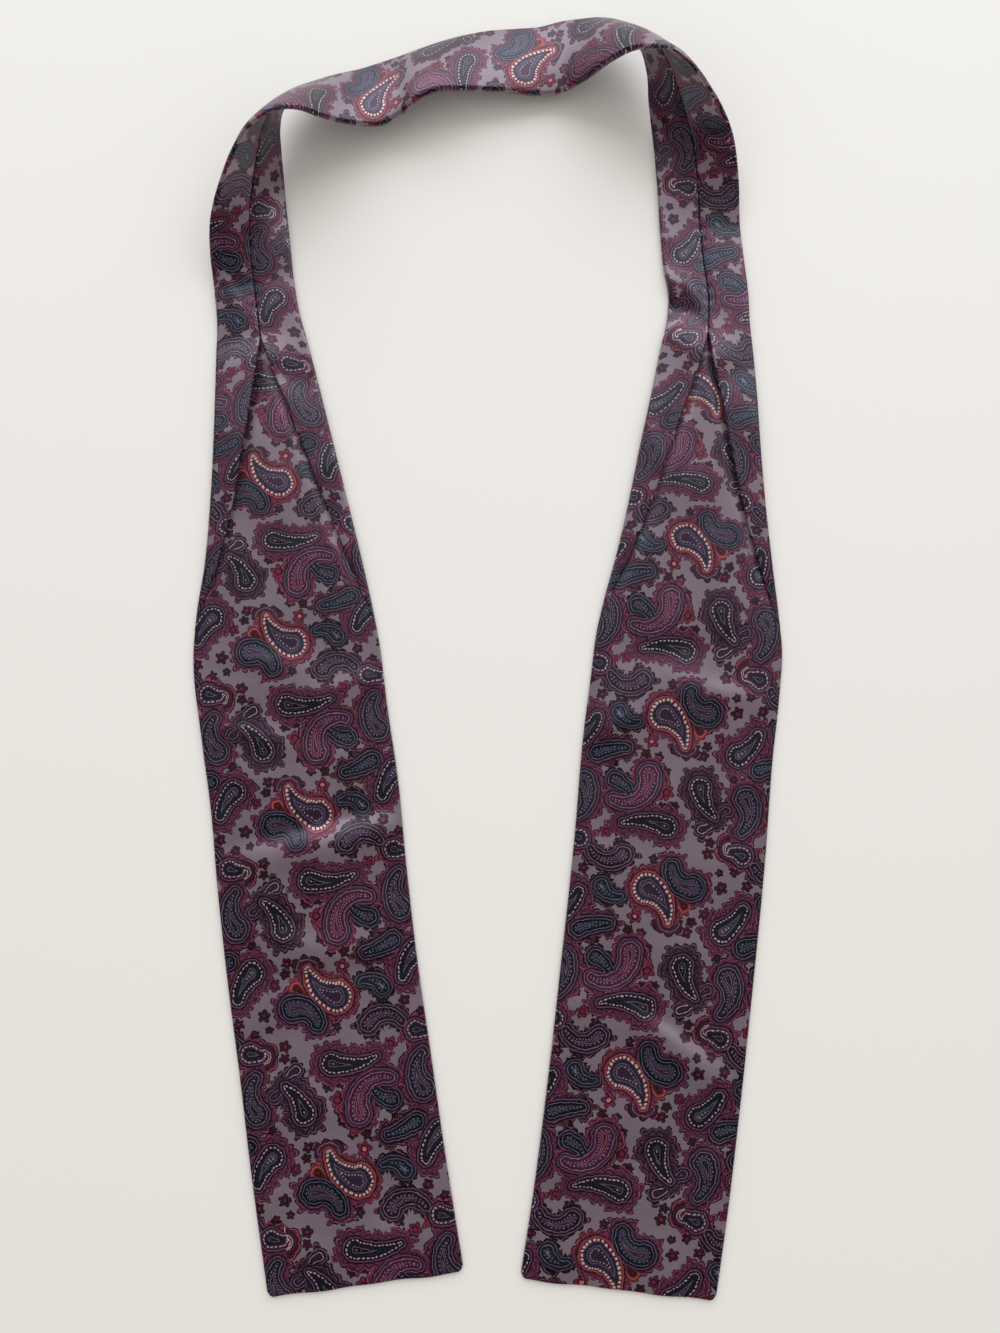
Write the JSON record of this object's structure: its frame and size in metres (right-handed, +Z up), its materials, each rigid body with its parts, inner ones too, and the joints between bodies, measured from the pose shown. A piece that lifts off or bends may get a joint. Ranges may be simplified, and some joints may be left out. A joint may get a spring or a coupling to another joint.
{
  "type": "neck scarf",
  "caption": "Printed silk neck scarf with a narrow folded neckband that opens into two full-width blades, laid out flat in a U with the band standing up at its turns.",
  "frame": {"origin": "on the surface that the scarf lies on, at the middle of its footprint", "axes": "+Z up, +Y from the hems of the blades towards the neckband, +X to the right seen from above with the neckband away"},
  "size_m": [0.2948, 0.6422, 0.0448],
  "materials": {
    "silk_blade": "printed silk twill, mauve grey ground with burgundy, plum and slate paisleys, soft sheen",
    "silk_flap": "the same printed silk, folded over",
    "silk_neckband": "the same printed silk, plain side",
    "silk_fold": "the same printed silk, folded in to a centre seam"
  },
  "bodies": {
    "root": {"blade_back_right": "silk_blade", "blade_front_right": "silk_blade", "flap_outer_right": "silk_flap", "flap_inner_right": "silk_flap", "neckband_back": "silk_neckband", "neckband_fold_outer": "silk_fold", "neckband_fold_inner": "silk_fold", "blade_back_left": "silk_blade", "blade_front_left": "silk_blade", "flap_outer_left": "silk_flap", "flap_inner_left": "silk_flap"}
  },
  "joints": []
}
